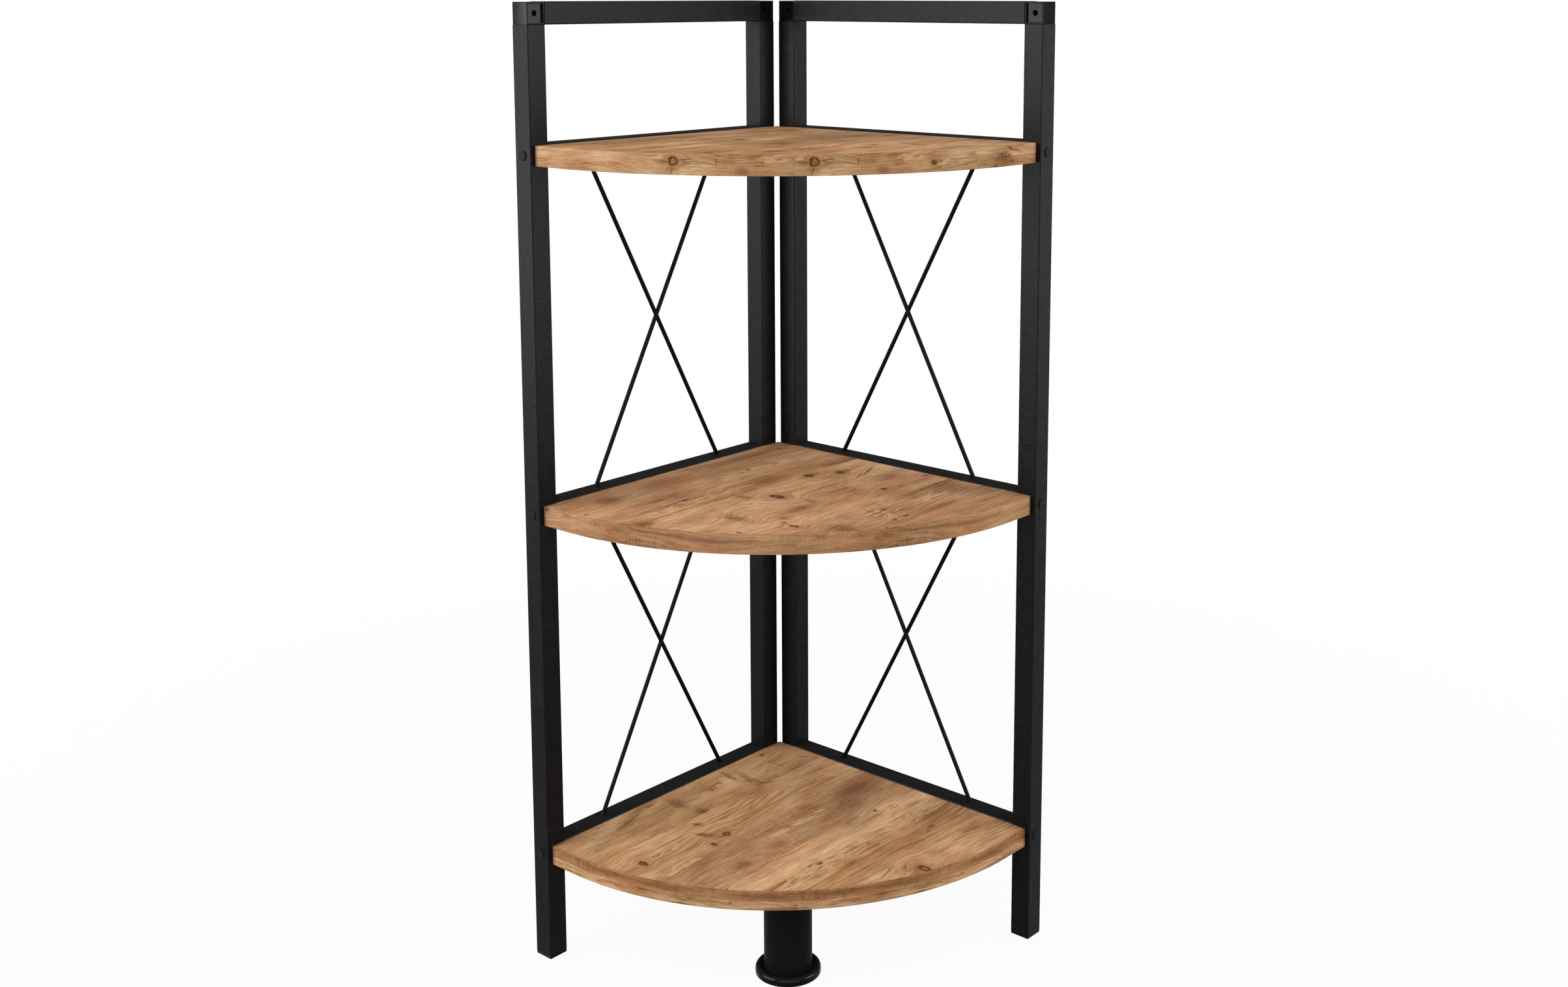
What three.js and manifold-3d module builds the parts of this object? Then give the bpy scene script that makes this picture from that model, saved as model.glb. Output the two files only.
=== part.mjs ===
// Corner shelf unit: two steel side frames at a right angle, three quarter-round shelves and a front leg.
// Lengths are in millimetres and +Z is up. The room corner is at -X, +Y and the open front looks to +X, -Y.
// The origin lies on the floor, under the middle of the unit's overall box.
import * as THREE from 'three';
import { mergeVertices } from 'three/addons/utils/BufferGeometryUtils.js';
import Module from 'manifold-3d';

const wasm = await Module();
wasm.setup();

// Square tube that posts and rails are cut from
const tubeSide = 20;
const tubeWall = 1.25;
const tubeCornerRadius = 1;

// Side frame, from the outer face of one post to the outer face of the other
const frameLength = 312.5;
const cornerGap = 3;
const floorClearance = 91;
const shelfPitch = 321.5;
const topOpening = 102.5;
const railEndPlate = 3;

// Round rod braces, welded to the rails and to each other where they cross
const braceDiameter = 4;
const braceInset = 76.25;

// Shelves: a board with its curved front edged by a thin strip
const shelfSetback = 5.2;
const shelfStraight = 28;
const shelfThickness = 18;
const shelfFit = 0.3;
const edgingThickness = 1;
const edgingGlueLine = 0.1;

// Bolts through the posts into the ends of the shelf rails
const boltDiameter = 6;
const boltPastPost = 15;
const boltHeadDiameter = 9;
const boltHeadHeight = 1.2;
const boltHeadEdge = 0.4;

// Wood screws through the inner wall of a rail into the edge of a board
const screwDiameter = 4;
const screwLength = 20;
const screwPointLength = 4;
const screwHeadDiameter = 8;
const screwHeadHeight = 2.4;
const screwInset = 48;
const screwHeadAccess = 1;

// Moulded connector at each upper corner of a side frame
const connectorInset = 0.3;
const connectorChamfer = 0.5;
const pocketRim = 1.5;
const pocketDepth = 2.2;
const pocketHoleDiameter = 5;
const pocketHoleDepth = 8;

// Ribbed spigots of the connectors and foot caps, pushed into the tube ends
const spigotLength = 24;
const spigotTip = 1.5;
const ribDepth = 2.5;
const ribThickness = 1.5;
const ribPitch = 6;
const ribClearance = 0.3;

// Foot cap under each post
const capHeight = 2.5;
const capInset = 0.3;
const capChamfer = 0.5;
const capSpigotLength = 14;

// Front leg under the lowest shelf, a set distance behind the curved front and nearly at its middle
const legBehindFront = 63.75;
const legTurnShare = 0.4845;
const legDiameter = 44;
const legWall = 2;
const legEndWall = 6;
const footFlangeWidth = 8;
const footHeight = 5.5;
const footRimHeight = 7.5;
const footRounding = 3.75;
const footChamfer = 0.5;
const footRecess = 0.75;
const footRimWidth = 5;
const footSpigotHeight = 14;
const footSpigotWall = 2.5;
const legBoltDiameter = 8;
const legBoltInBoard = 13;
const legNutAcrossFlats = 13;
const legNutHeight = 6.5;
const legBoltBelowNut = 3;

// Clearance round anything that passes through or sits in another piece, and the overrun of all cuts
const clearance = 0.3;
const overrun = 1;

// Facet counts; an arc in an outline gets two facets for each of its steps
const holeSides = 12;
const pocketHoleSides = 24;
const braceSides = 12;
const headSides = 16;
const screwSides = 12;
const legSides = 40;
const cornerSteps = 1;
const shelfArcSteps = 18;
const roundingSteps = 6;

// Levels and spans that follow from the sizes above
const railPitches = [0, 1, 2];
const railUndersides = railPitches.map((pitch) => floorClearance + pitch * shelfPitch);
const topRailUnderside = railUndersides[2] + tubeSide + topOpening;
const overallSpan = tubeSide + cornerGap + frameLength;
const railLength = frameLength - 2 * tubeSide;
const tubeBore = tubeSide - 2 * tubeWall;
const shelfLift = (tubeSide - shelfThickness) / 2;
const shelfFromWall = tubeSide + shelfFit;
const shelfSide = overallSpan - shelfFromWall - shelfSetback;
const shelfRadius = shelfSide - shelfStraight;
const boardUnderside = railUndersides[0] + shelfLift;
const legTurn = legTurnShare * (Math.PI / 2);
const legFromBackEdge = shelfStraight + (shelfRadius - legBehindFront) * Math.cos(legTurn);
const legFromLeftEdge = shelfStraight + (shelfRadius - legBehindFront) * Math.sin(legTurn);
const boltLength = tubeSide + boltPastPost;
const levelNames = ['lower', 'middle', 'upper'];
const bayNames = ['lower', 'upper'];

const coatedSteel = new THREE.MeshStandardMaterial({ color: 0x2b2b2a, roughness: 0.55, metalness: 0.3 });
const blackPlastic = new THREE.MeshStandardMaterial({ color: 0x343434, roughness: 0.4, metalness: 0 });
const pineBoard = new THREE.MeshStandardMaterial({ color: 0xb98f66, roughness: 0.5, metalness: 0 });
const pineEdging = new THREE.MeshStandardMaterial({ color: 0xbb946a, roughness: 0.5, metalness: 0 });
const blackSteel = new THREE.MeshStandardMaterial({ color: 0x242424, roughness: 0.45, metalness: 0.6 });
const zincSteel = new THREE.MeshStandardMaterial({ color: 0xb8b9bb, roughness: 0.35, metalness: 0.9 });

// A closed three.js geometry as a solid that can be cut and joined
function solidOf(geometry) {
  const bare = geometry.clone();
  bare.deleteAttribute('normal');
  bare.deleteAttribute('uv');
  const merged = mergeVertices(bare);
  return new wasm.Manifold(new wasm.Mesh({
    numProp: 3,
    vertProperties: new Float32Array(merged.attributes.position.array),
    triVerts: new Uint32Array(merged.index.array),
  }));
}

// The surface of a solid as a three.js geometry
function geometryOf(solid) {
  const mesh = solid.getMesh();
  const geometry = new THREE.BufferGeometry();
  geometry.setAttribute('position', new THREE.BufferAttribute(mesh.vertProperties, 3));
  geometry.setIndex(new THREE.BufferAttribute(mesh.triVerts, 1));
  geometry.computeVertexNormals();
  return geometry;
}

function pieceOf(name, solid, material) {
  const mesh = new THREE.Mesh(geometryOf(solid), material.clone());
  mesh.name = name;
  return mesh;
}

// A square outline round the origin, with rounded corners where a radius is given
function squareShape(side, radius) {
  const half = side / 2;
  const shape = new THREE.Shape();
  if (radius === 0) {
    shape.moveTo(-half, -half);
    shape.lineTo(half, -half);
    shape.lineTo(half, half);
    shape.lineTo(-half, half);
    return shape;
  }
  const centre = half - radius;
  shape.moveTo(-centre, -half);
  shape.absarc(centre, -centre, radius, -Math.PI / 2, 0, false);
  shape.absarc(centre, centre, radius, 0, Math.PI / 2, false);
  shape.absarc(-centre, centre, radius, Math.PI / 2, Math.PI, false);
  shape.absarc(-centre, -centre, radius, Math.PI, 1.5 * Math.PI, false);
  return shape;
}

// A square bar that stands on z = bottom
function squareBar(side, radius, bottom, height) {
  const options = { depth: height, bevelEnabled: false, curveSegments: cornerSteps };
  return new THREE.ExtrudeGeometry(squareShape(side, radius), options).translate(0, 0, bottom);
}

// A square block with every edge chamfered, standing on z = bottom
function chamferedBlock(side, chamfer, bottom, height) {
  const options = {
    depth: height - 2 * chamfer,
    bevelEnabled: true,
    bevelThickness: chamfer,
    bevelSize: chamfer,
    bevelOffset: -chamfer,
    bevelSegments: 1,
  };
  return new THREE.ExtrudeGeometry(squareShape(side, 0), options).translate(0, 0, bottom + chamfer);
}

// A round cutter or pin along X, Y or Z, centred on its axis and starting at the given place
function pinAlong(axis, diameter, start, length, sides) {
  const pin = new THREE.CylinderGeometry(diameter / 2, diameter / 2, length, sides);
  pin.translate(0, start + length / 2, 0);
  if (axis === 'x') pin.rotateZ(-Math.PI / 2);
  if (axis === 'z') pin.rotateX(Math.PI / 2);
  return pin;
}

// A turned piece about Z from a closed profile of [radius, height] points that meets the axis at both ends
function turned(profile, sides) {
  const points = profile.map(([radius, height]) => new THREE.Vector2(radius, height));
  return new THREE.LatheGeometry(points, sides).rotateX(Math.PI / 2);
}

// Points of a quarter round on a turned profile, from the side up to the top face
function roundedShoulder(radius, top, rounding) {
  const points = [];
  for (let step = 0; step <= roundingSteps; step += 1) {
    const angle = (step / roundingSteps) * (Math.PI / 2);
    points.push([
      radius - rounding + rounding * Math.cos(angle),
      top - rounding + rounding * Math.sin(angle),
    ]);
  }
  return points;
}

// Post: an open tube with a pair of bolt holes at each shelf rail
function makePost(name) {
  const height = topRailUnderside - capHeight;
  let solid = solidOf(squareBar(tubeSide, tubeCornerRadius, 0, height));
  solid = solid.subtract(solidOf(squareBar(tubeBore, 0, -overrun, height + 2 * overrun)));
  railUndersides.forEach((underside) => {
    const level = underside + tubeSide / 2 - capHeight;
    const hole = pinAlong('x', boltDiameter + 2 * clearance, -tubeSide, 2 * tubeSide, holeSides);
    solid = solid.subtract(solidOf(hole.translate(0, 0, level)));
  });
  return pieceOf(name, solid, coatedSteel);
}

// Top rail: a plain open tube along X
function makeTopRail(name) {
  const bar = squareBar(tubeSide, tubeCornerRadius, 0, railLength).rotateY(Math.PI / 2);
  const bore = squareBar(tubeBore, 0, -overrun, railLength + 2 * overrun).rotateY(Math.PI / 2);
  return pieceOf(name, solidOf(bar).subtract(solidOf(bore)), coatedSteel);
}

// Shelf rail along X: a tube closed by welded end plates that are tapped for the bolts.
// Two screws pass its inner wall, and a wider hole in its wall side lets their heads in.
function makeShelfRail(name) {
  const bar = squareBar(tubeSide, tubeCornerRadius, 0, railLength).rotateY(Math.PI / 2);
  const hollow = squareBar(tubeBore, 0, railEndPlate, railLength - 2 * railEndPlate).rotateY(Math.PI / 2);
  const tapped = boltDiameter + 2 * clearance;
  const tapping = pinAlong('x', tapped, -overrun, railLength + 2 * overrun, holeSides);
  let solid = solidOf(bar).subtract(solidOf(hollow)).subtract(solidOf(tapping));
  [screwInset, railLength - screwInset].forEach((along) => {
    const accessDiameter = screwHeadDiameter + 2 * screwHeadAccess;
    const accessLength = tubeWall + 2 * overrun;
    const access = pinAlong('y', accessDiameter, -tubeSide / 2 - overrun, accessLength, holeSides);
    const passage = pinAlong('y', screwDiameter + 2 * clearance, 0, tubeSide, holeSides);
    solid = solid.subtract(solidOf(access.translate(along, 0, 0)));
    solid = solid.subtract(solidOf(passage.translate(along, 0, 0)));
  });
  return pieceOf(name, solid, coatedSteel);
}

// Cross brace: two straight rods in one plane, fused where they cross and cut level at the rails
function makeCrossBrace(name) {
  const bay = shelfPitch - tubeSide;
  const reach = frameLength - 2 * braceInset;
  const lean = Math.atan2(reach, bay);
  const rodLength = Math.hypot(reach, bay) + 2 * braceDiameter;
  const rods = [lean, -lean].map((angle) => {
    const rod = pinAlong('z', braceDiameter, -rodLength / 2, rodLength, braceSides);
    return solidOf(rod.rotateY(angle));
  });
  const window = new THREE.BoxGeometry(frameLength, tubeSide, bay);
  const solid = rods[0].add(rods[1]).intersect(solidOf(window));
  return pieceOf(name, solid, coatedSteel);
}

// Ribbed spigot that grips the inside of a tube, growing along +Z from z = 0
function spigot(length) {
  const ribSide = tubeBore - 2 * ribClearance;
  let solid = solidOf(squareBar(ribSide - 2 * ribDepth, 0, -overrun, length + overrun));
  for (let from = ribPitch / 2; from + ribThickness + spigotTip <= length; from += ribPitch) {
    solid = solid.add(solidOf(squareBar(ribSide, 0, from, ribThickness)));
  }
  return solid;
}

// Corner connector: a moulded cube with one spigot down into the post and one along X into the top rail.
// Its inner face has a square pocket with a round screw hole in the pocket floor.
function makeConnector(name) {
  const depth = tubeSide - 2 * connectorInset;
  const width = tubeSide - connectorInset;
  const cube = chamferedBlock(width, connectorChamfer, -depth / 2, depth).rotateX(-Math.PI / 2);
  const offset = connectorInset / 2;
  let solid = solidOf(cube.translate(offset, 0, -offset));
  const down = spigot(spigotLength).rotate([180, 0, 0]).translate([0, 0, -tubeSide / 2]);
  const along = spigot(spigotLength).rotate([0, 90, 0]).translate([tubeSide / 2, 0, 0]);
  solid = solid.add(down).add(along);
  const face = depth / 2;
  const pocketSide = width - 2 * pocketRim;
  const pocket = new THREE.BoxGeometry(pocketSide, pocketDepth + overrun, pocketSide);
  pocket.translate(offset, face + overrun - (pocketDepth + overrun) / 2, -offset);
  const holeLength = pocketHoleDepth + pocketDepth;
  const hole = pinAlong('y', pocketHoleDiameter, face - holeLength, holeLength, pocketHoleSides);
  hole.translate(offset, 0, -offset);
  solid = solid.subtract(solidOf(pocket)).subtract(solidOf(hole));
  return pieceOf(name, solid, blackPlastic);
}

// Foot cap: a low square foot with a ribbed spigot up into the post
function makeFootCap(name) {
  const foot = chamferedBlock(tubeSide - 2 * capInset, capChamfer, 0, capHeight);
  const solid = solidOf(foot).add(spigot(capSpigotLength).translate([0, 0, capHeight]));
  return pieceOf(name, solid, blackPlastic);
}

// Rail bolt along +X, its round head bearing on the plane x = 0
function makeRailBolt(name) {
  const head = boltHeadDiameter / 2;
  const profile = [
    [0, -boltLength],
    [boltDiameter / 2, -boltLength],
    [boltDiameter / 2, 0],
    [head, 0],
    [head, boltHeadHeight - boltHeadEdge],
    [head - boltHeadEdge, boltHeadHeight],
    [0, boltHeadHeight],
  ];
  const bolt = turned(profile, headSides).rotateY(-Math.PI / 2);
  return pieceOf(name, solidOf(bolt), blackSteel);
}

// Shelf screw along +Y, the underside of its pan head bearing on the plane y = 0
function makeShelfScrew(name) {
  const head = screwHeadDiameter / 2;
  const shank = screwDiameter / 2;
  const profile = [
    [0, -screwHeadHeight],
    [head / 2, -screwHeadHeight],
    [head, -screwHeadHeight / 2],
    [head, 0],
    [shank, 0],
    [shank, screwLength - screwPointLength],
    [0, screwLength],
  ];
  const screw = turned(profile, screwSides).rotateX(-Math.PI / 2);
  return pieceOf(name, solidOf(screw), zincSteel);
}

// Outline of a shelf: two straight edges from the corner, short straight ends and a round front.
// Inset is how far the front run lies back from the finished front.
function shelfFront(path, inset, reversed) {
  const end = shelfSide - inset;
  const radius = shelfRadius - inset;
  if (reversed) {
    path.lineTo(0, end);
    path.lineTo(shelfStraight, end);
    path.absarc(shelfStraight, shelfStraight, radius, Math.PI / 2, 0, true);
    path.lineTo(end, 0);
    return;
  }
  path.lineTo(end, 0);
  path.lineTo(end, shelfStraight);
  path.absarc(shelfStraight, shelfStraight, radius, 0, Math.PI / 2, false);
  path.lineTo(0, end);
}

// Board: its two straight edges carry pilot holes for the shelf screws
function makeBoard(name, hasLeg) {
  const shape = new THREE.Shape();
  shape.moveTo(0, 0);
  shelfFront(shape, edgingThickness + edgingGlueLine, false);
  const options = { depth: shelfThickness, bevelEnabled: false, curveSegments: shelfArcSteps };
  let solid = solidOf(new THREE.ExtrudeGeometry(shape, options));
  const pilot = screwDiameter + 2 * clearance;
  const pilotDepth = screwLength - tubeWall - shelfFit + clearance;
  const pilotLength = pilotDepth + overrun;
  const frameStart = tubeSide + cornerGap - shelfFromWall;
  const level = shelfThickness / 2;
  [tubeSide + screwInset, frameLength - tubeSide - screwInset].forEach((inFrame) => {
    const place = frameStart + inFrame;
    const left = pinAlong('y', pilot, -overrun, pilotLength, holeSides).translate(place, 0, level);
    const right = pinAlong('x', pilot, -overrun, pilotLength, holeSides).translate(0, place, level);
    solid = solid.subtract(solidOf(left)).subtract(solidOf(right));
  });
  if (hasLeg) {
    const bore = legBoltInBoard + clearance + overrun;
    const hole = pinAlong('z', legBoltDiameter + 2 * clearance, -overrun, bore, holeSides);
    solid = solid.subtract(solidOf(hole.translate(legFromBackEdge, legFromLeftEdge, 0)));
  }
  return pieceOf(name, solid, pineBoard);
}

// Edging: one thin strip bent round the whole front of a board
function makeEdging(name) {
  const shape = new THREE.Shape();
  shape.moveTo(shelfSide - edgingThickness, 0);
  shelfFront(shape, 0, false);
  shelfFront(shape, edgingThickness, true);
  const options = { depth: shelfThickness, bevelEnabled: false, curveSegments: shelfArcSteps };
  return pieceOf(name, solidOf(new THREE.ExtrudeGeometry(shape, options)), pineEdging);
}

// Leg column: a tube closed at the top by a wall with a hole for the leg bolt
function makeLegColumn(name) {
  const height = boardUnderside - footHeight;
  const outer = legDiameter / 2;
  const inner = outer - legWall;
  const hole = legBoltDiameter / 2 + clearance;
  const ceiling = height - legEndWall;
  const bar = turned([[0, 0], [outer, 0], [outer, height], [0, height]], legSides);
  const bore = turned([[0, -overrun], [inner, -overrun], [inner, ceiling], [0, ceiling]], legSides);
  const drill = pinAlong('z', 2 * hole, 0, height + overrun, holeSides);
  return pieceOf(name, solidOf(bar).subtract(solidOf(bore)).subtract(solidOf(drill)), coatedSteel);
}

// Leg foot: a round flange with a thick rounded rim that falls to the column, a relief underneath
// and a collar up into the column
function makeLegFoot(name) {
  const outer = legDiameter / 2 + footFlangeWidth;
  const seat = legDiameter / 2 + clearance;
  const collar = legDiameter / 2 - legWall - clearance;
  const top = footHeight + footSpigotHeight;
  const profile = [
    [0, footRecess],
    [outer - footRimWidth, footRecess],
    [outer - footRimWidth, 0],
    [outer - footChamfer, 0],
    [outer, footChamfer],
    ...roundedShoulder(outer, footRimHeight, footRounding),
    [seat, footHeight],
    [collar, footHeight],
    [collar, top],
    [collar - footSpigotWall, top],
    [collar - footSpigotWall, footHeight],
    [0, footHeight],
  ];
  return pieceOf(name, solidOf(turned(profile, legSides)), blackPlastic);
}

// Leg bolt: its upper end is in the board, its lower end passes the column's end wall and takes the nut
function makeLegBolt(name) {
  const below = legEndWall + legNutHeight + legBoltBelowNut;
  const length = below + legBoltInBoard;
  return pieceOf(name, solidOf(pinAlong('z', legBoltDiameter, -below, length, screwSides)), zincSteel);
}

// Leg nut: a hexagon with its bore, its upper face bearing on the column's end wall
function makeLegNut(name) {
  const acrossCorners = legNutAcrossFlats / Math.cos(Math.PI / 6);
  const blank = pinAlong('z', acrossCorners, -legNutHeight, legNutHeight, 6);
  const boreLength = legNutHeight + 2 * overrun;
  const bore = pinAlong('z', legBoltDiameter + 2 * clearance, overrun - boreLength, boreLength, holeSides);
  return pieceOf(name, solidOf(blank).subtract(solidOf(bore)), zincSteel);
}

// A point in a group: x runs along the left wall from the room corner, y out from the left wall
function placed(mesh, x, y, z) {
  mesh.position.set(x, y, z);
  return mesh;
}

// Side frame: x runs along it from its first post, y from its wall face to its inner face
function makeSideFrame(side, ends) {
  const frame = new THREE.Group();
  const middle = tubeSide / 2;
  const lastPost = frameLength - middle;
  ends.forEach((end, index) => {
    const isFirst = index === 0;
    const x = isFirst ? middle : lastPost;
    const corner = `${side}_${end}`;
    frame.add(placed(makePost(`${corner}_post`), x, middle, capHeight));
    frame.add(placed(makeFootCap(`${corner}_foot_cap`), x, middle, 0));
    const connector = makeConnector(`${corner}_corner_connector`);
    if (!isFirst) connector.rotation.y = Math.PI / 2;
    frame.add(placed(connector, x, middle, topRailUnderside + middle));
    railUndersides.forEach((underside, level) => {
      const bolt = makeRailBolt(`${corner}_rail_bolt_${levelNames[level]}`);
      if (!isFirst) bolt.rotation.z = Math.PI;
      frame.add(placed(bolt, isFirst ? 0 : frameLength, middle, underside + middle));
      const screw = makeShelfScrew(`${corner}_shelf_screw_${levelNames[level]}`);
      const along = isFirst ? tubeSide + screwInset : frameLength - tubeSide - screwInset;
      frame.add(placed(screw, along, tubeSide - tubeWall, underside + middle));
    });
  });
  frame.add(placed(makeTopRail(`${side}_top_rail`), tubeSide, middle, topRailUnderside + middle));
  railUndersides.forEach((underside, level) => {
    const rail = makeShelfRail(`${side}_shelf_rail_${levelNames[level]}`);
    frame.add(placed(rail, tubeSide, middle, underside + middle));
  });
  bayNames.forEach((bay, index) => {
    const brace = makeCrossBrace(`${side}_cross_brace_${bay}`);
    const centre = (railUndersides[index] + tubeSide + railUndersides[index + 1]) / 2;
    frame.add(placed(brace, frameLength / 2, middle, centre));
  });
  return frame;
}

const leftFrame = makeSideFrame('left', ['rear', 'front']);
leftFrame.position.set(tubeSide + cornerGap, 0, 0);

const rightFrame = makeSideFrame('right', ['front', 'rear']);
rightFrame.position.set(0, overallSpan, 0);
rightFrame.rotation.z = -Math.PI / 2;

const shelves = new THREE.Group();
shelves.position.set(shelfFromWall, shelfFromWall, 0);
railUndersides.forEach((underside, level) => {
  const z = underside + shelfLift;
  shelves.add(placed(makeBoard(`shelf_board_${levelNames[level]}`, level === 0), 0, 0, z));
  shelves.add(placed(makeEdging(`shelf_edging_${levelNames[level]}`), 0, 0, z));
});

const leg = new THREE.Group();
leg.position.set(shelfFromWall + legFromBackEdge, shelfFromWall + legFromLeftEdge, 0);
leg.add(placed(makeLegFoot('front_leg_foot'), 0, 0, 0));
leg.add(placed(makeLegColumn('front_leg_column'), 0, 0, footHeight));
leg.add(placed(makeLegBolt('front_leg_bolt'), 0, 0, boardUnderside));
leg.add(placed(makeLegNut('front_leg_nut'), 0, 0, boardUnderside - legEndWall));

// The bolt heads of the two front posts stand out past the tubes, and the box is centred with them
const unit = new THREE.Group();
unit.name = 'corner_shelf_unit';
unit.add(leftFrame, rightFrame, shelves, leg);
unit.rotation.z = -Math.PI / 2;
unit.position.set(-(overallSpan + boltHeadHeight) / 2, (overallSpan + boltHeadHeight) / 2, 0);

export default unit;
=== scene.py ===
import math

import bmesh
import bpy
from mathutils import Matrix, Vector


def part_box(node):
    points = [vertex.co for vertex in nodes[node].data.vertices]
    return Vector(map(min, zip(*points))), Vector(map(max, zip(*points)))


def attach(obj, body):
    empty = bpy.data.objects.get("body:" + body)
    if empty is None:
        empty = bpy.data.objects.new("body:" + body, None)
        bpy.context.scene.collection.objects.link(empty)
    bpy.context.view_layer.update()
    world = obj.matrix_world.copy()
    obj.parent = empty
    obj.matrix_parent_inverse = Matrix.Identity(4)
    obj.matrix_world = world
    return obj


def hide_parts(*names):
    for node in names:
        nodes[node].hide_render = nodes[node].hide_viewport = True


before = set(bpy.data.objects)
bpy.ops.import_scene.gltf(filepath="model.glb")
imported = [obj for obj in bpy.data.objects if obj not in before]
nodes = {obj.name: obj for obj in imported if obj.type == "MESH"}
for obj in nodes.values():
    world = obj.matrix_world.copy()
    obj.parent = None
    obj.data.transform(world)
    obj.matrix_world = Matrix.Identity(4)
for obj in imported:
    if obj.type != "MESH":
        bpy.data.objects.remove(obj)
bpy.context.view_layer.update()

# Lengths are written in millimetres and turned into metres by MM, only those of the lamps in metres
MM = 0.001
LEVELS = ("lower", "middle", "upper")
SIDES = ("left", "right")
ENDS = ("front", "rear")

# Sizes of the solid model that the finer pieces follow
SPAN_HALF = 168.35          # half of the side of the square that the unit stands in
TUBE_SIDE = 20
SHELF_FROM_WALL = 20.3
SHELF_SIDE = 310
SHELF_STRAIGHT = 28         # straight length at each end of a shelf's round front
SHELF_BOTTOMS = {"lower": 92.0, "middle": 413.5, "upper": 735.0}
BOARD_THICKNESS = 18
EDGING_THICKNESS = 1
EDGING_GLUE_LINE = 0.1
BRACE_DIAMETER = 4
BRACE_HALF_SPREAD = 80
BRACE_MIDDLE = 10.9
BAYS = {"lower": (111.0, 412.5), "upper": (432.5, 734.0)}
LEG_DIAMETER = 44
LEG_WALL = 2
LEG_END_WALL = 6
LEG_GAP = 0.2               # between the column's lower end and the foot
FOOT_DIAMETER = 60
FOOT_HEIGHT = 5.5
FOOT_RIM_HEIGHT = 7.5
FOOT_ROUNDING = 3.75
FOOT_RING = 5               # width of the ring that stands on the floor
FOOT_RECESS = 0.75
FOOT_SEAT_GAP = 0.3
COLLAR_GAP = 0.3
COLLAR_HEIGHT = 14
COLLAR_WALL = 2.5
COLLAR_DEPTH = 1

# Sizes that only the finer pieces have
BOARD_RIM = 0.25
EDGING_ROUNDING = 0.6
LEG_LOWER_CHAMFER = 0.2
LEG_UPPER_CHAMFER = 0.5
FOOT_CHAMFER = 0.5
TUBE_EDGE = 0.15
CAP_EDGE = 0.25
CONNECTOR_EDGE = 0.3
BOLT_EDGE = 0.9
SCREW_EDGE = 0.1

# Fineness of round forms, and how near points and faces are taken as one
FRONT_STEPS = 72
ROUND_SIDES = 96
ROD_SIDES = 24
EDGING_STEPS = 4
FOOT_STEPS = 12
FALL_STEPS = 10
BEVEL_STEPS = 3
BOLT_BEVEL_STEPS = 4
BEVEL_FROM_DEGREES = 20
SMOOTH_TO_DEGREES = 34
ROD_SMOOTH_TO_DEGREES = 20
BOARD_RIM_STEPS = 2
ROUND_PROFILE = 0.5
NEARLY = 1e-6
MERGE_WITHIN = 1e-4
WELD_WITHIN = 0.002
FLAT_TO_DEGREES = 0.5
LARGE_FACES_LEAD = 100

# The shelf's inner corner, and the quarter circle of its front
SHELF_CORNER = SPAN_HALF - SHELF_FROM_WALL
ARC_CENTRE = SPAN_HALF - SHELF_FROM_WALL - SHELF_STRAIGHT
ARC_RADIUS = SHELF_SIDE - SHELF_STRAIGHT
FRONT_HALF = ARC_RADIUS * math.pi / 4 + SHELF_STRAIGHT


# Shaders

def opaque(colour):
    """A colour of three parts gets its fourth. A socket stays as it is."""
    return (*colour, 1.0) if isinstance(colour, tuple) else colour


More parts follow.
